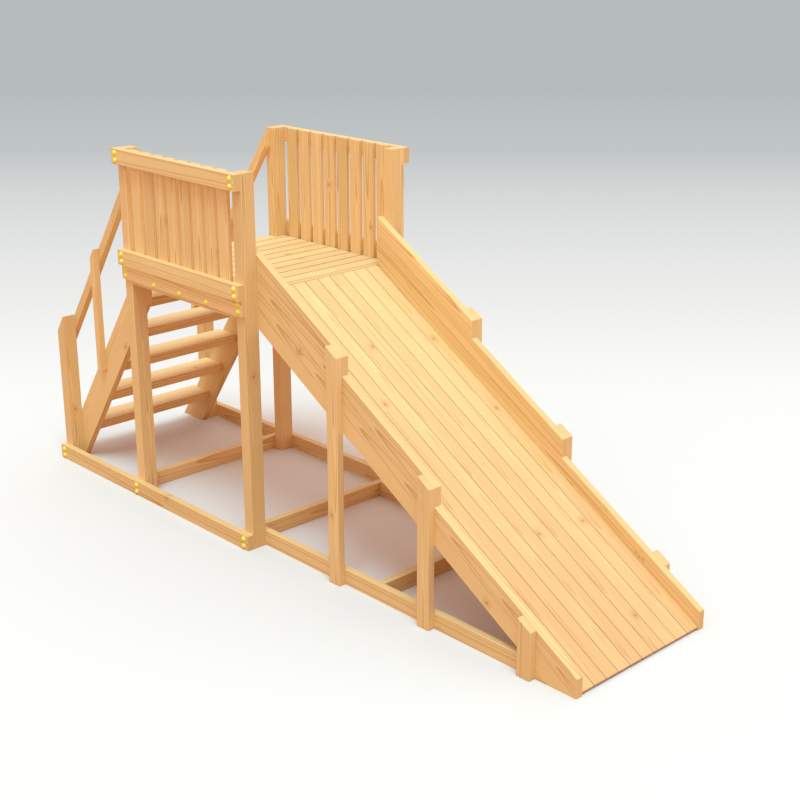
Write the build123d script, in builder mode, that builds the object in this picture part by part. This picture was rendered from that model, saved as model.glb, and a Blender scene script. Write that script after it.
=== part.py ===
from build123d import *
import os
from math import hypot

# Wooden tower slide for small children: a bolted softwood tower with a railed stair behind it
# and a boarded slide in front of it.  Millimetres.  +X runs from the stair to the slide's foot,
# +Y is across, +Z is up.  The origin is on the ground under the middle of the whole slide.

os.makedirs("parts", exist_ok=True)

# ---- Lumber ----
board_t = 45.0             # thickness of every structural board
board_w = 95.0             # width of every structural board
thin_t = 20.0              # thickness of the platform's fascia boards
picket_t = 24.0
picket_w = 95.0
deck_t = 28.0              # thickness of the platform's and the slide's deck boards
post_x = 80.0              # tower and newel posts, along the slide
post_y = 95.0              # tower and newel posts, across the slide
support_w = 90.0           # slide support posts, along the slide

# ---- Overall sizes ----
chute_w = 980.0            # clear width between the slide's side boards
tower_len = 1240.0         # over the outer faces of the tower posts
tower_h = 2300.0           # top of the tower posts and guards
platform_h = 1568.0        # walking surface of the platform
slide_reach = 2467.0       # from the tower's front face to the slide's foot

# ---- Stair ----
step_count = 5
step_run = 183.0           # going of one step
step_depth = 195.0
step_t = 60.0
top_step_back = 6.0        # top step's back edge, in front of the tower's rear face
stringer_w = 195.0
stringer_setback = 830.0   # where the stringer's lower edge starts, behind the tower's rear face
newel_setback = 905.0      # newel's outer face, behind the tower's rear face
handrail_w = 60.0
handrail_end = 45.0        # handrail's upper end, in front of the tower's rear face
handrail_drop = 18.5       # its top corner there, below the top of the tower post
baluster_setback = 500.0   # baluster's rear face, behind the tower's rear face
baluster_lap = 86.0        # how far the baluster laps down over the stringer

# ---- Platform and guards ----
platform_board_count = 10
platform_gap = 7.0         # between platform boards
edge_strip_w = 50.0        # narrow last board, where the slide begins
edge_gap = 6.0
deck_tuck = 17.0           # slide's first line, behind the front posts' rear faces
platform_clear = 2.0       # platform boards to the posts and the pickets
picket_count = 8
picket_gap = 31.0

# ---- Slide ----
deck_count = 10
deck_gap = 3.0
foot_h = 18.0              # deck surface above ground at the foot
foot_clear = 14.0          # flat cut under the deck's last stretch
foot_setback = 6.0         # deck boards stop short of the side boards' ends
side_below = 110.0         # side boards below the deck surface
side_layers = 4
side_start = 7.0           # side boards start in front of the slide's first line
support_first = 645.0      # first support post, in front of the tower's front face
support_pitch = 729.0
batten_count = 5
batten_first = 120.0       # down the slope from the slide's first line
batten_last = 230.0        # up the slope from the slide's foot
third_beam = 1026.0        # floor beam between the supports, in front of the tower's front face

# ---- Fasteners ----
screw_d = 8.0              # coach screws
screw_long = 110.0         # through the frame boards
screw_short = 60.0         # through the platform side beams
screw_flats = 13.0
screw_head_h = 5.5
washer_d = 24.0
washer_t = 1.6
cap_d = 34.0
cap_h = 12.0
cap_wall = 2.0
screw_spread = 45.0        # between the two screws of one joint
ledger_spread = 270.0      # between the screws along a ledger
deck_screw_d = 5.0
deck_screw_bite = 15.0     # into the deck board
deck_screw_head_d = 9.5
deck_screw_head_h = 3.0
hole_clear = 0.4           # a hole's diameter over its screw's
hole_end = 1.0             # a blind hole's depth past its screw's point

# ---- Derived: across the slide ----
slide_in = chute_w / 2
slide_out = slide_in + board_t
post_out = slide_out + post_y
frame_out = post_out + board_t
picket_in = post_out - picket_t
ledger_in = post_out - board_t

# ---- Derived: along the slide ----
rise = platform_h / (step_count + 1)
stair_slope = rise / step_run
stringer_foot = stringer_w * hypot(1, 1 / stair_slope)
x_rear = (stringer_setback + stringer_foot - tower_len - slide_reach) / 2
x_rear_in = x_rear + post_x
x_front = x_rear + tower_len
x_front_in = x_front - post_x
x_newel = x_rear - newel_setback
x_baluster = x_rear - baluster_setback
x_handrail = x_rear + handrail_end
x_deck = x_front_in - deck_tuck
x_side = x_deck + side_start
x_foot = x_front + slide_reach
deck_slope = (platform_h - foot_h) / (x_foot - x_deck)
slope_cos = 1 / hypot(1, deck_slope)
slope_sin = deck_slope * slope_cos
deck_pitch = chute_w / deck_count
deck_w = deck_pitch - deck_gap
support_x = [x_front + support_first + support_pitch * i for i in range(3)]

# ---- Derived: heights ----
platform_under = platform_h - deck_t
beam_low = platform_h - board_w
ledger_low = platform_under - board_w
guard_top = platform_h + board_w
rail_low = tower_h - board_w

sides = (("near", -1), ("far", 1))


def save(piece, label):
    """Name a finished piece and write it."""
    piece.part.label = label
    export_step(piece.part, f"parts/{label}.step")


def side_plane(y_out):
    """A vertical plane along the slide, facing -Y, at a given place across it."""
    return Plane.XZ.offset(-y_out)


def span(sign, inner, outer):
    """The higher Y and the width of a piece that lies between two distances from the middle."""
    return max(sign * inner, sign * outer), outer - inner


def deck_z(x, above=0.0):
    """Height of the line that lies a square distance above the deck surface."""
    return platform_h - (x - x_deck) * deck_slope + above / slope_cos


def deck_x(z, above=0.0):
    """Where that line passes a given height."""
    return x_deck + (platform_h + above / slope_cos - z) / deck_slope


def stair_z(x, x_ground):
    """Height of a line at the stair's slope that starts on the ground."""
    return (x - x_ground) * stair_slope


def handrail_z(x):
    """Height of the handrail's upper edge."""
    return tower_h - handrail_drop + (x - x_handrail) * stair_slope


def plate(points, y_high, width, holes=()):
    """A board drawn from the side and given its width across, with its screw holes."""
    with BuildPart() as piece:
        with BuildSketch(side_plane(y_high)):
            with BuildLine():
                Polyline(*points, close=True)
            make_face()
        extrude(amount=width)
        if holes:
            with BuildSketch(side_plane(y_high)):
                with Locations(*holes):
                    Circle(screw_bore / 2)
            extrude(amount=width, mode=Mode.SUBTRACT)
    return piece


def box_points(x0, x1, z0, z1):
    """Corners of an upright rectangle along the slide."""
    return [(x0, z0), (x1, z0), (x1, z1), (x0, z1)]


def pair(xs, z_mid):
    """Two screws one above the other at each place along the slide."""
    return [(x, z_mid + dz) for x in xs for dz in (-screw_spread / 2, screw_spread / 2)]


# ---- Where the screws go ----
base_z = board_w / 2
beam_z = platform_h - board_w / 2
guard_z = platform_h + board_w / 2
rail_z = tower_h - board_w / 2
newel_mid = x_newel + post_x / 2
tower_mids = (x_rear + post_x / 2, x_front - post_x / 2)
base_holes = pair((newel_mid,) + tower_mids, base_z)
beam_holes = pair(tower_mids, beam_z)
guard_holes = pair(tower_mids, guard_z)
rail_holes = pair(tower_mids, rail_z)
x_tower_mid = (x_rear + x_front) / 2
ledger_z = ledger_low + board_w / 2
ledger_holes = [(x_tower_mid + i * ledger_spread, ledger_z) for i in (-1, 0, 1)]
screw_bore = screw_d + hole_clear
deep_bite = screw_long - board_t
shallow_bite = screw_short - thin_t


def drilled(sign, inner, outline, deep_holes, shallow_holes):
    """A post or ledger behind the frame boards, with blind screw holes in its outer face."""
    y_high, width = span(sign, inner, post_out)
    with BuildPart() as piece:
        with BuildSketch(side_plane(y_high)):
            with BuildLine():
                Polyline(*outline, close=True)
            make_face()
        extrude(amount=width)
        face = Plane(origin=(0, sign * post_out, 0), x_dir=(1, 0, 0), z_dir=(0, sign, 0))
        for holes, bite in ((deep_holes, deep_bite), (shallow_holes, shallow_bite)):
            if holes:
                with BuildSketch(face):
                    with Locations(*[(x, -sign * z) for x, z in holes]):
                        Circle(screw_bore / 2)
                extrude(amount=-(bite + hole_end), mode=Mode.SUBTRACT)
    return piece


# ---- Ground frame ----
for side, sign in sides:
    y_high, width = span(sign, post_out, frame_out)
    outline = box_points(x_newel, x_front, 0, board_w)
    save(plate(outline, y_high, width, base_holes), f"tower_base_beam_{side}")

    # The slide's base beam is mitred under the side boards.
    y_high, width = span(sign, slide_in, slide_out)
    outline = [
        (x_front_in, 0),
        (deck_x(0, -side_below), 0),
        (deck_x(board_w, -side_below), board_w),
        (x_front_in, board_w),
    ]
    save(plate(outline, y_high, width), f"slide_base_beam_{side}")

for label, x_face, half in (
    ("floor_cross_beam_rear", x_rear, post_out),
    ("floor_cross_beam_front", x_front_in, post_out),
    ("floor_cross_beam_slide", x_front + third_beam, slide_in),
):
    save(plate(box_points(x_face - board_t, x_face, 0, board_w), half, 2 * half), label)

# ---- Posts ----
for side, sign in sides:
    for label, x0 in (("rear_post", x_rear), ("front_post", x_front_in)):
        mid = (x0 + post_x / 2,)
        outline = box_points(x0, x0 + post_x, 0, tower_h)
        deep = pair(mid, base_z) + pair(mid, guard_z) + pair(mid, rail_z)
        save(drilled(sign, slide_out, outline, deep, pair(mid, beam_z)), f"{label}_{side}")

    x1 = x_newel + post_x
    outline = [(x_newel, 0), (x1, 0), (x1, handrail_z(x1)), (x_newel, handrail_z(x_newel))]
    deep = pair((newel_mid,), base_z)
    save(drilled(sign, slide_out, outline, deep, ()), f"newel_post_{side}")

# ---- Stair ----
x_low = x_rear - stringer_setback
x_high = x_low - stringer_foot
handrail_depth = handrail_w * hypot(1, stair_slope)
for side, sign in sides:
    y_high, width = span(sign, slide_in, slide_out)
    outline = [
        (x_high, 0),
        (x_low, 0),
        (x_rear_in, stair_z(x_rear_in, x_low)),
        (x_rear_in, platform_under),
        (x_high + platform_under / stair_slope, platform_under),
    ]
    save(plate(outline, y_high, width), f"stringer_{side}")

    outline = [
        (x_newel, handrail_z(x_newel) - handrail_depth),
        (x_handrail, handrail_z(x_handrail) - handrail_depth),
        (x_handrail, handrail_z(x_handrail)),
        (x_newel, handrail_z(x_newel)),
    ]
    save(plate(outline, y_high, width), f"handrail_{side}")

    y_high, width = span(sign, slide_out, slide_out + board_t)
    x1 = x_baluster + board_t
    foot = stair_z(x_baluster, x_high) - baluster_lap
    outline = [
        (x_baluster, foot),
        (x1, foot),
        (x1, handrail_z(x1)),
        (x_baluster, handrail_z(x_baluster)),
    ]
    save(plate(outline, y_high, width), f"baluster_{side}")

for i in range(step_count):
    top = rise * (i + 1)
    back = x_rear + top_step_back - step_run * (step_count - 1 - i)
    outline = box_points(back - step_depth, back, top - step_t, top)
    save(plate(outline, slide_in, chute_w), f"stair_step_{i + 1}")

# ---- Platform ----
for side, sign in sides:
    y_high, width = span(sign, post_out, post_out + thin_t)
    outline = box_points(x_rear, x_front, beam_low, platform_h)
    save(plate(outline, y_high, width, beam_holes + ledger_holes), f"platform_side_beam_{side}")

    outline = box_points(x_rear_in, x_front_in, ledger_low, platform_under)
    save(drilled(sign, ledger_in, outline, (), ledger_holes), f"platform_ledger_{side}")

outline = box_points(x_rear, x_rear + thin_t, beam_low, platform_h)
save(plate(outline, slide_in, chute_w), "platform_rear_trim")

x_strip = x_deck - edge_gap - edge_strip_w
for label, x0 in (("rear", x_rear_in), ("front", x_strip + edge_strip_w - board_t)):
    outline = box_points(x0, x0 + board_t, ledger_low, platform_under)
    save(plate(outline, ledger_in, 2 * ledger_in), f"platform_header_{label}")

platform_pitch = (x_strip - x_rear - thin_t) / platform_board_count
platform_board_w = platform_pitch - platform_gap
platform_half = picket_in - platform_clear
notch_x = x_rear_in + platform_clear
notch_y = slide_out - platform_clear
with BuildPart() as platform_boards:
    for i in range(platform_board_count):
        x0 = x_rear + thin_t + platform_gap / 2 + i * platform_pitch
        with BuildSketch(Plane.XY.offset(platform_under)):
            with Locations((x0, 0)):
                Rectangle(platform_board_w, 2 * platform_half, align=(Align.MIN, Align.CENTER))
            if x0 < notch_x:
                # Boards beside the rear posts are notched round them.
                for sign in (-1, 1):
                    with Locations((notch_x, sign * notch_y)):
                        Rectangle(
                            notch_x - x0,
                            platform_half - notch_y,
                            align=(Align.MAX, Align.MIN if sign > 0 else Align.MAX),
                            mode=Mode.SUBTRACT,
                        )
        extrude(amount=deck_t)
save(platform_boards, "platform_boards")

outline = box_points(x_strip, x_strip + edge_strip_w, platform_under, platform_h)
save(plate(outline, platform_half, 2 * platform_half), "platform_edge_strip")

# ---- Guards ----
picket_room = x_front_in - x_rear_in
picket_pitch = picket_w + picket_gap
pickets_len = picket_count * picket_pitch - picket_gap
x_picket = x_rear_in + (picket_room - pickets_len) / 2
for side, sign in sides:
    y_high, width = span(sign, post_out, frame_out)
    outline = box_points(x_rear, x_front, platform_h, guard_top)
    save(plate(outline, y_high, width, guard_holes), f"guard_lower_rail_{side}")
    outline = box_points(x_rear, x_front, rail_low, tower_h)
    save(plate(outline, y_high, width, rail_holes), f"guard_top_rail_{side}")

    y_high, width = span(sign, picket_in, post_out)
    with BuildPart() as guard_pickets:
        with BuildSketch(side_plane(y_high)):
            for i in range(picket_count):
                # Pickets stand on the ledger, outside the platform boards.
                with Locations((x_picket + i * picket_pitch, platform_under)):
                    Rectangle(picket_w, tower_h - platform_under, align=(Align.MIN, Align.MIN))
        extrude(amount=width)
    save(guard_pickets, f"guard_pickets_{side}")

# ---- Slide: side boards, stepping down at the first two supports ----
layer_names = ("bottom", "lower", "middle", "upper")
layer_ends = (x_foot, x_foot, support_x[1] + support_w, support_x[0] + support_w)
for side, sign in sides:
    y_high, width = span(sign, slide_in, slide_out)
    for i in range(side_layers):
        low = board_w * i - side_below
        high = low + board_w
        end = layer_ends[i]
        outline = [(x_side, deck_z(x_side, low))]
        if deck_z(end, low) < 0:
            outline += [(deck_x(0, low), 0)]
        else:
            outline += [(end, deck_z(end, low))]
        if deck_z(end, high) < 0:
            outline += [(deck_x(0, high), 0)]
        else:
            outline += [(end, 0)] if deck_z(end, low) < 0 else []
            outline += [(end, deck_z(end, high))]
        outline += [(x_side, deck_z(x_side, high))]
        save(plate(outline, y_high, width), f"slide_side_{layer_names[i]}_{side}")

    # Support posts lap the side boards and are cut along their top edge.
    y_high, width = span(sign, slide_out, slide_out + board_t)
    for i in range(3):
        x0 = support_x[i]
        x1 = x0 + support_w
        top = board_w * (side_layers - i) - side_below
        outline = [(x0, 0), (x1, 0), (x1, deck_z(x1, top)), (x0, deck_z(x0, top))]
        save(plate(outline, y_high, width), f"slide_support_{i + 1}_{side}")

# ---- Slide: deck on battens, screwed from below ----
slope_len = (x_foot - x_deck) / slope_cos
slope_down = Vector(slope_cos, 0, -slope_sin)
slope_up = Vector(slope_sin, 0, slope_cos)
deck_start = Vector(x_deck, 0, platform_h)
batten_step = (slope_len - batten_first - batten_last) / (batten_count - 1)
batten_runs = [batten_first + i * batten_step for i in range(batten_count)]
deck_ys = [(i - (deck_count - 1) / 2) * deck_pitch for i in range(deck_count)]
screw_spots = [(0, y) for y in deck_ys]
deck_screw_bore = deck_screw_d + hole_clear


def under_deck(run, depth):
    """A plane square to the slope, facing the deck from below, at a run down the slope."""
    place = deck_start + slope_down * run - slope_up * depth
    return Plane(origin=place, x_dir=slope_down, z_dir=slope_up)


batten_under = deck_t + board_t
with BuildPart() as deck_battens:
    for run in batten_runs:
        with BuildSketch(under_deck(run, batten_under)):
            Rectangle(board_w, chute_w)
        extrude(amount=board_t)
        with BuildSketch(under_deck(run, batten_under)):
            with Locations(*screw_spots):
                Circle(deck_screw_bore / 2)
        extrude(amount=board_t, mode=Mode.SUBTRACT)
save(deck_battens, "deck_battens")

x_deck_end = x_foot - foot_setback
deck_outline = [
    (x_deck, deck_z(x_deck, -deck_t)),
    (deck_x(foot_clear, -deck_t), foot_clear),
    (x_deck_end, foot_clear),
    (x_deck_end, deck_z(x_deck_end)),
    (x_deck, platform_h),
]
with BuildPart() as slide_deck_boards:
    for y in deck_ys:
        with BuildSketch(side_plane(y + deck_w / 2)):
            with BuildLine():
                Polyline(*deck_outline, close=True)
            make_face()
        extrude(amount=deck_w)
    for run in batten_runs:
        with BuildSketch(under_deck(run, deck_t)):
            with Locations(*screw_spots):
                Circle(deck_screw_bore / 2)
        extrude(amount=deck_screw_bite + hole_end, mode=Mode.SUBTRACT)
save(slide_deck_boards, "slide_deck_boards")

with BuildPart() as deck_screws:
    for run in batten_runs:
        with BuildSketch(under_deck(run, batten_under)):
            with Locations(*screw_spots):
                Circle(deck_screw_d / 2)
        extrude(amount=board_t + deck_screw_bite)
        with BuildSketch(under_deck(run, batten_under)):
            with Locations(*screw_spots):
                Circle(deck_screw_head_d / 2)
        extrude(amount=-deck_screw_head_h)
save(deck_screws, "deck_screws")

# ---- Coach screws, washers and caps ----
def seats(holes, y_face):
    """Screw seats on both sides of the tower, as places with the way they face."""
    return [(Vector(x, sign * y_face, z), sign) for side, sign in sides for x, z in holes]


def seat_plane(seat, lift=0.0):
    """A plane on a seat, facing outwards, lifted off the wood."""
    place, sign = seat
    return Plane(origin=place + Vector(0, sign * lift, 0), x_dir=(1, 0, 0), z_dir=(0, sign, 0))


long_seats = seats(base_holes + guard_holes + rail_holes, frame_out)
short_seats = seats(beam_holes + ledger_holes, post_out + thin_t)

for label, here, length in (
    ("coach_screws_long", long_seats, screw_long),
    ("coach_screws_short", short_seats, screw_short),
):
    with BuildPart() as coach_screws:
        for seat in here:
            with BuildSketch(seat_plane(seat, washer_t)):
                RegularPolygon(screw_flats / 2, 6, major_radius=False)
            extrude(amount=screw_head_h)
            with BuildSketch(seat_plane(seat, washer_t)):
                Circle(screw_d / 2)
            extrude(amount=-(length + washer_t))
    save(coach_screws, label)

with BuildPart() as screw_washers:
    for seat in long_seats + short_seats:
        with BuildSketch(seat_plane(seat)):
            Circle(washer_d / 2)
            Circle(screw_bore / 2, mode=Mode.SUBTRACT)
        extrude(amount=washer_t)
save(screw_washers, "screw_washers")

# A cap is a thin round dome, part of a hollow ball, that sits on the wood round the washer.
ball_r = (cap_d ** 2 / 4 + cap_h ** 2) / (2 * cap_h)
with BuildPart() as dome:
    with BuildSketch(Plane.XZ):
        with Locations((0, cap_h - ball_r)):
            Circle(ball_r)
            Circle(ball_r - cap_wall, mode=Mode.SUBTRACT)
        Rectangle(ball_r, ball_r, align=(Align.MIN, Align.MIN), mode=Mode.INTERSECT)
    revolve(axis=Axis.Z)
with BuildPart() as screw_caps:
    for seat in long_seats + short_seats:
        with Locations(seat_plane(seat).location):
            add(dome.part)
save(screw_caps, "screw_caps")
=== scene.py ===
import math
from itertools import count
import bmesh
import bpy
from mathutils import Euler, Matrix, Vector


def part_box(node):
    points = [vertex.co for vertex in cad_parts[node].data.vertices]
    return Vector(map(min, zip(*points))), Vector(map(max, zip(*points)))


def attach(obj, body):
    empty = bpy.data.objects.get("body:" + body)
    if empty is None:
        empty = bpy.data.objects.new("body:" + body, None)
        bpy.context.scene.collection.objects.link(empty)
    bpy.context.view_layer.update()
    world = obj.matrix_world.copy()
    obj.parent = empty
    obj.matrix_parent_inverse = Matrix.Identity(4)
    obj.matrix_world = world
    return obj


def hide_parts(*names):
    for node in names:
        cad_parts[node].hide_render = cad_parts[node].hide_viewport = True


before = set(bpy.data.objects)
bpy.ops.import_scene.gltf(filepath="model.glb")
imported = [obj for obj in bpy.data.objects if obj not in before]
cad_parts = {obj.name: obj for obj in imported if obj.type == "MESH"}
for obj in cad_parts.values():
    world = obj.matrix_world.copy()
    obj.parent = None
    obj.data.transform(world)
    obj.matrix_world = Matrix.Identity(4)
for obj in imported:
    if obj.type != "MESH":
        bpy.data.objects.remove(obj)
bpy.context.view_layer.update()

# ---- Ground frame ----
# Long softwood boards on edge tie the tower and the slide together on the ground.
# Each is planed pine, sawn to length, with its long edges eased by a light pass of the plane.

X, Y, Z = Vector((1, 0, 0)), Vector((0, 1, 0)), Vector((0, 0, 1))
edge_ease = 0.0022          # radius taken off the edges of most boards
stout_ease = 0.003          # off posts, rails and side boards
thin_ease = 0.0015          # off the platform's framing
early_wood = (0.89, 0.630, 0.295)
late_wood = (0.570, 0.262, 0.070)
knot_wood = (0.44, 0.200, 0.065)
one_end_tint = (0.93, 0.80, 0.78)  # how much darker and more golden the wood is made towards one end
end_early = (0.80, 0.54, 0.24)
end_late = (0.42, 0.20, 0.07)
# Painted shade for the gaps between floor boards: their narrow sides are darkened with this colour.
joint_dirt = (0.16, 0.10, 0.05)
gap_shade_share = 0.85           # strength of the painted shade in the gaps between floor boards
ring_pitch = 0.0088         # growth of one year
fibre_tone = 0.12
board_tone = 0.12           # how much one board differs from the next


class Value:
    """A node's output, so that sums on it can be written as sums."""

    def __init__(self, tree, socket):
        self.tree = tree
        self.socket = socket

    def math(self, operation, *others):
        inputs = {i: v for i, v in enumerate((self,) + others)}
        return self.tree.add("ShaderNodeMath", {"operation": operation}, inputs)

    def __add__(self, other):
        return self.math("ADD", other)

    def __sub__(self, other):
        return self.math("SUBTRACT", other)

    def __mul__(self, other):
        return self.math("MULTIPLY", other)

    def __truediv__(self, other):
        return self.math("DIVIDE", other)

    def __pow__(self, other):
        return self.math("POWER", other)

    __radd__ = __add__
    __rmul__ = __mul__

    def __rsub__(self, other):
        return self.tree.value(other) - self

    def floor(self):
        return self.math("FLOOR")

    def fract(self):
        return self.math("FRACT")

    def step(self, low, high):
        """Rises smoothly from 0 at low to 1 at high."""
        settings = {"interpolation_type": "SMOOTHSTEP"}
        return self.tree.add("ShaderNodeMapRange", settings, {0: self, 1: low, 2: high})


class Tree:
    """A material's nodes."""

    def __init__(self, name):
        self.material = bpy.data.materials.new(name)
        self.material.use_nodes = True
        self.tree = self.material.node_tree
        self.shader = self.tree.nodes["Principled BSDF"]

    def add(self, kind, settings=None, inputs=None, output=0):
        """Adds a node: its settings first, then the values or links of its sockets."""
        node = self.tree.nodes.new(kind)
        for key, value in (settings or {}).items():
            setattr(node, key, value)
        for key, value in (inputs or {}).items():
            self.feed(node, key, value)
        return Value(self, node.outputs[output])

    def feed(self, node, key, value):
        if isinstance(value, Value):
            self.tree.links.new(value.socket, node.inputs[key])
        elif value is not None:
            node.inputs[key].default_value = value

    def more(self, value, output):
        """Another output of the node that made a value."""
        return Value(self, value.socket.node.outputs[output])

    def value(self, number):
        return self.add("ShaderNodeMath", {"operation": "ADD"}, {0: number, 1: 0.0})

    def place(self):
        return self.add("ShaderNodeTexCoord", output="Object")

    def dot(self, vector, direction):
        settings = {"operation": "DOT_PRODUCT"}
        return self.add("ShaderNodeVectorMath", settings, {0: vector, 1: tuple(direction)}, "Value")

    def vector(self, x, y, z):
        return self.add("ShaderNodeCombineXYZ", None, {0: x, 1: y, 2: z})

    def noise(self, vector, scale, detail=2.0):
        """Noise between about -0.5 and 0.5."""
        inputs = {"Vector": vector, "Scale": scale, "Detail": detail}
        return self.add("ShaderNodeTexNoise", None, inputs, "Fac") - 0.5

    def mix(self, factor, a, b, blend="MIX"):
        settings = {"data_type": "RGBA", "blend_type": blend}
        color = [v if isinstance(v, Value) else (*v, 1.0) for v in (a, b)]
        return self.add("ShaderNodeMix", settings, {0: factor, 6: color[0], 7: color[1]}, 2)

    def finish(self, **inputs):
        for key, value in inputs.items():
            self.feed(self.shader, key.replace("_", " "), value)
        return self.material


def pine(name, along, across, centre, seed, pitch=0.0, start=0.0, joint=0.0, grain=1.0,
         worn=0.0):
    """Planed pine whose grain runs one way.  A row of boards gets a new log at each pitch,
    its narrow sides get painted shade for the shade in the gaps between boards, and long
    boards may be made darker and more golden towards one end, over a given half length."""
    t = Tree(name)
    p = t.place()
    along, across = along.normalized(), across.normalized()
    thick = along.cross(across)
    u = t.dot(p, along) - centre.dot(along)
    v = t.dot(p, across) - centre.dot(across)
    w = t.dot(p, thick) - centre.dot(thick)
    log = t.value(seed * 7.31)
    if pitch:
        index = ((v + centre.dot(across) - start) / pitch).floor()
        v = v + centre.dot(across) - start - (index + 0.5) * pitch
        log = log + index * 3.17
    chance = t.add("ShaderNodeTexWhiteNoise", {"noise_dimensions": "1D"}, {"W": log}, "Color")
    split = t.add("ShaderNodeSeparateColor", None, {0: chance}, 0)
    r1, r2, r3 = split, t.more(split, 1), t.more(split, 2)

    # Knots: about one spot in five strewn along the board, which the rings flow round.
    spread_u, spread_v = 1.5, 7.0
    knot_reach, knot_core, knot_rim = 0.045, 0.004, 0.011
    spot = t.vector(u * spread_u + r1 * 31.0, v * spread_v + r2 * 17.0, r3 * 9.0)
    cell = t.add("ShaderNodeTexVoronoi", {"voronoi_dimensions": "3D"},
                 {"Vector": spot, "Scale": 1.0}, "Position")
    away = t.add("ShaderNodeVectorMath", {"operation": "SUBTRACT"}, {0: spot, 1: cell})
    offset = t.add("ShaderNodeSeparateXYZ", None, {0: away}, 0)
    du, dv = offset / spread_u, t.more(offset, 1) / spread_v
    away_m = (du * du * 0.6 + dv * dv).math("SQRT")
    pick = t.add("ShaderNodeSeparateColor", None, {0: t.more(cell, "Color")}, 0).step(0.80, 0.84)
    near_knot = (1.0 - away_m.step(0.0, knot_reach)) * pick
    knot = (1.0 - away_m.step(knot_core, knot_rim)) * pick

    # Growth rings round a log whose heart runs nearly along the board.
    slow = t.vector(u * 0.9, v * 2.0, w * 2.0 + log)
    heart_v = (r1 - 0.5) * 0.08 + t.noise(slow, 1.0, 1.0) * 0.06
    heart_w = r2 * 0.04 + 0.024 + u * (r3 - 0.5) * 0.05
    side_v, side_w = v - heart_v, w + heart_w
    radius = (side_v * side_v + side_w * side_w).math("SQRT")
    streak = t.vector(u * 2.2, v * 26.0, w * 26.0 + log)
    radius = radius + t.noise(streak, 1.0, 3.0) * 0.0035 + near_knot * 0.006
    ring = (radius / ring_pitch + r3 * 5.0).fract()
    late = ring ** 4.0 * (1.0 - ring.step(0.92, 1.0))

    fibre = t.noise(t.vector(u * 7.0, v * 420.0, w * 420.0), 1.0, 3.0)
    patch = t.noise(t.vector(u * 1.4, v * 5.0, w * 5.0 + log), 1.0, 2.0)
    color = t.mix(late * ((0.78 + r2 * 0.22) * grain), early_wood, late_wood)
    color = t.mix(near_knot * 0.35, color, late_wood)
    color = t.mix(knot * 0.6, color, knot_wood)
    tone = 1.0 - board_tone / 2 + r1 * board_tone + fibre * fibre_tone + patch * 0.14
    color = t.mix(1.0, color, t.vector(tone, tone * tone ** 0.15, tone ** 1.5), "MULTIPLY")
    # The board is made darker and more golden towards one end; on the deck this is the foot.
    if worn:
        color = t.mix(u.step(-worn, worn), color, t.mix(1.0, color, one_end_tint, "MULTIPLY"))

    # Sawn ends drink the finish and are darker.
    normal = t.add("ShaderNodeNewGeometry", output="Normal")
    end = t.dot(normal, along).math("ABSOLUTE").step(0.75, 0.95)
    color = t.mix(end * 0.6, color, t.mix(late, end_early, end_late))
    # Painted shade: the narrow sides of boards in a row are darkened to stand for the shade in the
    # gaps between them.
    if joint:
        gap_shade_mask = t.dot(normal, across).math("ABSOLUTE").step(0.75, 0.95)
        color = t.mix(gap_shade_mask * joint, color, joint_dirt)
    rough = 0.47 + late * 0.10 + fibre * 0.12 + end * 0.2
    height = 1.0 - late * 0.6 + fibre * 0.8
    bump = t.add("ShaderNodeBump", None, {"Strength": 0.35, "Distance": 0.0005, "Height": height})
    t.shader.inputs["Specular IOR Level"].default_value = 0.35
    return t.finish(Base_Color=color, Roughness=rough, Normal=bump)


def middle(node):
    low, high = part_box(node)
    return (Vector(low) + Vector(high)) / 2


def plain_mesh(obj, name):
    """The finished mesh of an object with modifiers, in an object of its own."""
    seen = obj.evaluated_get(bpy.context.evaluated_depsgraph_get())
    mesh = bpy.data.meshes.new_from_object(seen)
    made = bpy.data.objects.new(name, mesh)
    bpy.context.scene.collection.objects.link(made)
    bpy.data.objects.remove(obj)
    return made


def eased(node, material, ease):
    """A board with its edges planed off, in place of the sharp one."""
    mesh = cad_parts[node].data.copy()
    mesh.materials.clear()
    mesh.materials.append(material)
    shape = bmesh.new()
    shape.from_mesh(mesh)
    bmesh.ops.remove_doubles(shape, verts=shape.verts, dist=1e-5)
    bmesh.ops.dissolve_limit(
        shape, angle_limit=math.radians(1), verts=shape.verts, edges=shape.edges)
    for face in shape.faces:
        face.smooth = False
        face.material_index = 0
    shape.to_mesh(mesh)
    shape.free()
    rough = bpy.data.objects.new(node + "_rough", mesh)
    bpy.context.scene.collection.objects.link(rough)
    bevel = rough.modifiers.new("ease", "BEVEL")
    bevel.width = ease
    bevel.segments = 2
    bevel.limit_method = "ANGLE"
    bevel.angle_limit = math.radians(25)
    planed = plain_mesh(rough, node + "_board")
    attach(planed, "root")
    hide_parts(node)


logs = count(1)             # each node's wood comes from the next log


def board(node, along, across, ease=edge_ease, **look):
    eased(node, pine(node, along, across, middle(node), next(logs), **look), ease)


sides = ("near", "far")
for side in sides:
    board(f"tower_base_beam_{side}", X, Z)
    board(f"slide_base_beam_{side}", X, Z)
for place in ("rear", "front", "slide"):
    board(f"floor_cross_beam_{place}", Y, Z)

# ---- Posts ----
# Four tower posts stand on the ground, sawn square at the top.  The two newels in front of
# the stair are cut to the slope of the handrail.

for side in sides:
    for kind in ("rear_post", "front_post", "newel_post"):
        board(f"{kind}_{side}", Z, Y, stout_ease)

# ---- Stair ----
# Thick steps are housed between two wide stringers, and a handrail runs up each side
# at the same slope, lapped on the inner faces of the newel and the tower post.

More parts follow.
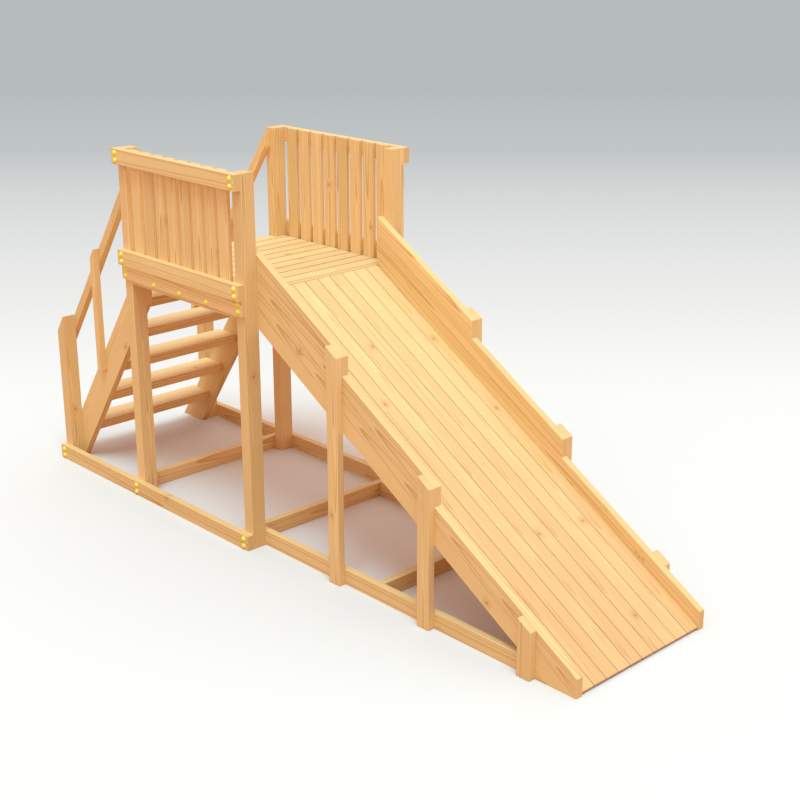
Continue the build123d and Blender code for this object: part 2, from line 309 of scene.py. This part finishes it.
step_count = 5
step_ease = 0.004
first_step, last_step = middle("stair_step_1"), middle(f"stair_step_{step_count}")
stair_way = (last_step - first_step).normalized()
stair_up = Y.cross(stair_way)
for side in sides:
    board(f"stringer_{side}", stair_way, stair_up, stout_ease)
    board(f"handrail_{side}", stair_way, stair_up, stout_ease)
    board(f"baluster_{side}", Z, X)
for i in range(step_count):
    board(f"stair_step_{i + 1}", Y, X, step_ease)

# ---- Platform ----
# Boards run across the tower on ledgers and headers, behind thin fascia boards.
# A narrow strip closes the front edge where the slide begins.

for side in sides:
    board(f"platform_side_beam_{side}", X, Z, thin_ease)
    board(f"platform_ledger_{side}", X, Z, thin_ease)
for node in ("platform_rear_trim", "platform_header_rear", "platform_header_front"):
    board(node, Y, Z, thin_ease)
platform_board_count = 10
low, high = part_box("platform_boards")
board_gap = 0.0035          # half the gap between two platform boards
platform_pitch = (high[0] - low[0] + 2 * board_gap) / platform_board_count
board("platform_boards", Y, X, pitch=platform_pitch, start=low[0] - board_gap,
      joint=gap_shade_share, grain=0.7)
board("platform_edge_strip", Y, X, joint=gap_shade_share)

# ---- Guards ----
# Two rails run along each side of the platform, outside the posts.
# Thin pickets stand in a row behind them, with a gap too narrow for a child's head.

for side in sides:
    board(f"guard_lower_rail_{side}", X, Z, stout_ease)
    board(f"guard_top_rail_{side}", X, Z, stout_ease)

picket_count = 8
picket_width = 0.095
picket_ease = 0.0018
picket_ease_steps = 3


def node_group(name, inputs):
    """An empty Geometry Nodes tree with named inputs."""
    group = bpy.data.node_groups.new(name, "GeometryNodeTree")
    group.interface.new_socket("Mesh", in_out="OUTPUT", socket_type="NodeSocketGeometry")
    group.interface.new_socket("Points", in_out="INPUT", socket_type="NodeSocketGeometry")
    for key, kind in inputs.items():
        group.interface.new_socket(key, in_out="INPUT", socket_type=kind)
    return group


def put(group, kind, settings=None, inputs=None):
    """Adds a node to a Geometry Nodes tree, its settings first."""
    node = group.nodes.new(kind)
    for key, value in (settings or {}).items():
        setattr(node, key, value)
    for key, value in (inputs or {}).items():
        if isinstance(value, bpy.types.NodeSocket):
            group.links.new(value, node.inputs[key])
        else:
            node.inputs[key].default_value = value
    return node


def run_group(group, points, name, values):
    """Puts a tree on a mesh of points, sets its inputs and keeps the mesh that it makes."""
    mesh = bpy.data.meshes.new(name + "_points")
    mesh.from_pydata([tuple(p) for p in points], [], [])
    carrier = bpy.data.objects.new(name + "_carrier", mesh)
    bpy.context.scene.collection.objects.link(carrier)
    modifier = carrier.modifiers.new("make", "NODES")
    modifier.node_group = group
    for item in group.interface.items_tree:
        if item.item_type == "SOCKET" and item.in_out == "INPUT" and item.name in values:
            modifier[item.identifier] = values[item.name]
    made = plain_mesh(carrier, name)
    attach(made, "root")
    return made


pickets = node_group("picket_row", {
    "Width": "NodeSocketFloat",
    "Thickness": "NodeSocketFloat",
    "Height": "NodeSocketFloat",
    "Ease": "NodeSocketFloat",
    "Wood": "NodeSocketMaterial",
})
given = put(pickets, "NodeGroupInput").outputs
outline = put(pickets, "GeometryNodeCurvePrimitiveQuadrilateral", None,
              {"Width": given["Width"], "Height": given["Thickness"]})
rounded = put(pickets, "GeometryNodeFilletCurve", {"mode": "POLY"}, {
    "Curve": outline.outputs[0],
    "Count": picket_ease_steps,
    "Radius": given["Ease"],
})
top = put(pickets, "ShaderNodeCombineXYZ", None, {"Z": given["Height"]})
line = put(pickets, "GeometryNodeCurvePrimitiveLine", None, {"End": top.outputs[0]})
swept = put(pickets, "GeometryNodeCurveToMesh", None, {
    "Curve": line.outputs[0],
    "Profile Curve": rounded.outputs[0],
    "Fill Caps": True,
})
row = put(pickets, "GeometryNodeInstanceOnPoints", None,
          {"Points": given["Points"], "Instance": swept.outputs[0]})
real = put(pickets, "GeometryNodeRealizeInstances", None, {"Geometry": row.outputs[0]})
flat = put(pickets, "GeometryNodeSetShadeSmooth", None,
           {"Geometry": real.outputs[0], "Shade Smooth": False})
woody = put(pickets, "GeometryNodeSetMaterial", None,
            {"Geometry": flat.outputs[0], "Material": given["Wood"]})
put(pickets, "NodeGroupOutput", None, {0: woody.outputs[0]})

for side in sides:
    node = f"guard_pickets_{side}"
    low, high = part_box(node)
    pitch = (high[0] - low[0] - picket_width) / (picket_count - 1)
    feet = [
        (low[0] + picket_width / 2 + i * pitch, (low[1] + high[1]) / 2, low[2])
        for i in range(picket_count)
    ]
    gap = pitch - picket_width
    wood = pine(node, Z, X, middle(node), next(logs), pitch, low[0] - gap / 2)
    row = run_group(pickets, feet, node + "_boards", {
        "Width": picket_width,
        "Thickness": high[1] - low[1],
        "Height": high[2] - low[2],
        "Ease": picket_ease,
        "Wood": wood,
    })
    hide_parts(node)

# ---- Slide ----
# Ten boards make the smooth bed, screwed to battens from below, between side walls of
# stacked boards that step down at the support posts.

deck_count = 10
deck_ease = 0.0018
support_count = 3
worn_half = 1.6             # half the length over which the deck is made darker and more golden towards its foot
deck_low, deck_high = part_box("slide_deck_boards")
foot_thickness = 0.0083     # deck board's sawn end at the foot
slide_way = Vector((deck_high[0] - deck_low[0], 0, deck_low[2] + foot_thickness - deck_high[2]))
slide_way.normalize()
slide_up = slide_way.cross(Y)
for side in sides:
    for layer in ("bottom", "lower", "middle", "upper"):
        board(f"slide_side_{layer}_{side}", slide_way, slide_up, stout_ease)
    for i in range(support_count):
        board(f"slide_support_{i + 1}_{side}", Z, X, stout_ease)

chute_half = -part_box("slide_side_lower_near")[1][1]
deck_pitch = 2 * chute_half / deck_count
board("slide_deck_boards", slide_way, Y, deck_ease, pitch=deck_pitch, start=-chute_half,
      joint=gap_shade_share, grain=0.6, worn=worn_half)
board("deck_battens", Y, slide_way)

# ---- Screws, washers and caps ----
# Zinc plated coach screws with washers hold the frame.  A smooth yellow plastic cap,
# moulded as a thin dome, snaps over each head.

zinc = Tree("zinc_plate")
cloud = zinc.noise(zinc.place(), 240.0, 4.0)
tint = zinc.mix(cloud + 0.5, (0.56, 0.56, 0.53), (0.72, 0.72, 0.70))
zinc.shader.inputs["Metallic"].default_value = 1.0
zinc_metal = zinc.finish(Base_Color=tint, Roughness=0.36 + cloud * 0.3)
for node in ("coach_screws_long", "coach_screws_short", "screw_washers", "deck_screws"):
    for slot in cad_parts[node].material_slots:
        slot.material = zinc_metal

cap_plastic = Tree("yellow_cap_plastic")
spot = cap_plastic.place()
cloud = cap_plastic.noise(spot, 60.0, 3.0)
scuff = cap_plastic.noise(spot, 900.0, 5.0)
tint = cap_plastic.mix(cloud + 0.5, (0.93, 0.84, 0.06), (0.98, 0.92, 0.14))
pits = cap_plastic.add("ShaderNodeBump", None,
                       {"Strength": 0.12, "Distance": 0.0003, "Height": scuff})
yellow = cap_plastic.finish(Base_Color=tint, Roughness=0.33 + scuff * 0.2, Normal=pits)

dome_segments, dome_rings = 28, 22
rim_slack = 0.0028          # the ball's points this near below the rim are raised to it
domes = node_group("screw_caps", {
    "Ball": "NodeSocketFloat",
    "Drop": "NodeSocketFloat",
    "Plastic": "NodeSocketMaterial",
})
given = put(domes, "NodeGroupInput").outputs
ball = put(domes, "GeometryNodeMeshUVSphere", None,
           {"Segments": dome_segments, "Rings": dome_rings, "Radius": given["Ball"]})
drop = put(domes, "ShaderNodeCombineXYZ", None, {"Z": given["Drop"]})
sunk = put(domes, "GeometryNodeTransform", None,
           {"Geometry": ball.outputs["Mesh"], "Translation": drop.outputs[0]})
spot = put(domes, "GeometryNodeInputPosition")
parts = put(domes, "ShaderNodeSeparateXYZ", None, {0: spot.outputs[0]})
below = put(domes, "FunctionNodeCompare", {"data_type": "FLOAT", "operation": "LESS_THAN"},
            {0: parts.outputs["Z"], 1: -rim_slack})
cut = put(domes, "GeometryNodeDeleteGeometry", {"domain": "POINT"},
          {"Geometry": sunk.outputs[0], "Selection": below.outputs[0]})
raised = put(domes, "ShaderNodeMath", {"operation": "MAXIMUM"}, {0: parts.outputs["Z"], 1: 0.0})
level = put(domes, "ShaderNodeCombineXYZ", None,
            {"X": parts.outputs["X"], "Y": parts.outputs["Y"], "Z": raised.outputs[0]})
seated = put(domes, "GeometryNodeSetPosition", None,
             {"Geometry": cut.outputs[0], "Position": level.outputs[0]})
smooth = put(domes, "GeometryNodeSetShadeSmooth", None, {"Geometry": seated.outputs[0]})
where = put(domes, "GeometryNodeInputPosition")
sideways = put(domes, "ShaderNodeVectorMath", {"operation": "MULTIPLY"},
               {0: where.outputs[0], 1: (0.0, 1.0, 0.0)})
facing = put(domes, "FunctionNodeAlignRotationToVector", {"axis": "Z"},
             {"Vector": sideways.outputs[0]})
row = put(domes, "GeometryNodeInstanceOnPoints", None, {
    "Points": given["Points"],
    "Instance": smooth.outputs[0],
    "Rotation": facing.outputs[0],
})
real = put(domes, "GeometryNodeRealizeInstances", None, {"Geometry": row.outputs[0]})
coated = put(domes, "GeometryNodeSetMaterial", None,
             {"Geometry": real.outputs[0], "Material": given["Plastic"]})
put(domes, "NodeGroupOutput", None, {0: coated.outputs[0]})

# Each cap of the frame gives its place: the middle of its rim, on the wood.
shape = bmesh.new()
shape.from_mesh(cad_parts["screw_caps"].data)
bmesh.ops.remove_doubles(shape, verts=shape.verts, dist=1e-6)
waiting = set(shape.verts)
cap_radius = cap_height = 0.0
seats = {}
while waiting:
    front = [waiting.pop()]
    island = list(front)
    while front:
        vert = front.pop()
        for edge in vert.link_edges:
            other = edge.other_vert(vert)
            if other in waiting:
                waiting.remove(other)
                island.append(other)
                front.append(other)
    lows = [min(v.co[i] for v in island) for i in range(3)]
    highs = [max(v.co[i] for v in island) for i in range(3)]
    cap_radius = max(cap_radius, (highs[0] - lows[0]) / 2)
    cap_height = max(cap_height, highs[1] - lows[1])
    rim_y = highs[1] if highs[1] < 0 else lows[1]
    seat = ((lows[0] + highs[0]) / 2, rim_y, (lows[2] + highs[2]) / 2)
    seats[tuple(round(c, 3) for c in seat)] = seat
shape.free()
ball_radius = (cap_radius ** 2 + cap_height ** 2) / (2 * cap_height)
cap_places = [seats[key] for key in sorted(seats)]
caps = run_group(domes, cap_places, "screw_cap_domes", {
    "Ball": ball_radius,
    "Drop": cap_height - ball_radius,
    "Plastic": yellow,
})
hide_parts("screw_caps")

# ---- Studio ----
# A white floor that turns grey far behind the slide, one high soft light and a pale sky.

floor_tree = Tree("studio_floor")
back_way = (-0.726, 0.688, 0.0)
fade_length = 25.0
back = floor_tree.dot(floor_tree.place(), back_way) / fade_length
ramp = floor_tree.add("ShaderNodeValToRGB", None, {0: back})
fades = (
    (0.0, (0.770, 0.760, 0.750)),
    (0.10, (0.745, 0.736, 0.726)),
    (0.21, (0.644, 0.636, 0.633)),
    (0.30, (0.580, 0.579, 0.581)),
    (0.41, (0.512, 0.514, 0.519)),
    (0.56, (0.400, 0.413, 0.421)),
    (0.85, (0.351, 0.367, 0.375)),
)
stops = ramp.socket.node.color_ramp.elements
while len(stops) < len(fades):
    stops.new(0.5)
for stop, (at, tint) in zip(stops, fades):
    stop.position = at
    stop.color = (*tint, 1.0)
seen = floor_tree.add("ShaderNodeLightPath", output="Is Camera Ray")
glow = (0.52, 0.30, 0.20)   # the floor's bounce on the wood is dim and warm
floor_tint = floor_tree.mix(seen, glow, ramp)
floor_finish = floor_tree.finish(Base_Color=floor_tint, Roughness=1.0)
floor_tree.shader.inputs["Specular IOR Level"].default_value = 0.0
floor_mesh = bpy.data.meshes.new("floor")
reach = 60.0
floor_z = -0.0005           # just under the posts, so that no faces coincide
corners = [(-reach, -reach), (reach, -reach), (reach, reach), (-reach, reach)]
floor_mesh.from_pydata([(x, y, floor_z) for x, y in corners], [], [(0, 1, 2, 3)])
floor_mesh.materials.append(floor_finish)
floor = bpy.data.objects.new("floor", floor_mesh)
bpy.context.scene.collection.objects.link(floor)

sun_data = bpy.data.lights.new("high_light", "SUN")
sun_data.energy = 2.15
sun_data.angle = math.radians(28)
sun_data.color = (0.52, 0.87, 1.0)
sun = bpy.data.objects.new("high_light", sun_data)
sun.rotation_euler = Euler((math.radians(14), math.radians(16), 0))
bpy.context.scene.collection.objects.link(sun)

world = bpy.data.worlds.new("sky")
world.use_nodes = True
sky = world.node_tree
sky_light = (1.0, 0.80, 0.70, 1.0)  # what the slide is lit by
sky_seen = (0.72, 0.73, 0.74, 1.0)  # what the camera sees past the floor
background = sky.nodes["Background"]
background.inputs["Strength"].default_value = 1.0
ray = sky.nodes.new("ShaderNodeLightPath")
choose = sky.nodes.new("ShaderNodeMix")
choose.data_type = "RGBA"
sky.links.new(ray.outputs["Is Camera Ray"], choose.inputs[0])
choose.inputs[6].default_value = sky_light
choose.inputs[7].default_value = sky_seen
sky.links.new(choose.outputs[2], background.inputs["Color"])
bpy.context.scene.world = world
bpy.context.scene.view_settings.view_transform = "Standard"

camera_data = bpy.data.cameras.new("camera")
camera_data.lens = 64.24
camera_data.sensor_width = 36.0
camera_data.clip_end = 200.0
camera = bpy.data.objects.new("camera", camera_data)
camera.location = (6.2724, -5.4207, 3.7668)
camera.rotation_euler = Euler((math.radians(90 - 19.506), 0, math.radians(46.544)))
bpy.context.scene.collection.objects.link(camera)
bpy.context.scene.camera = camera
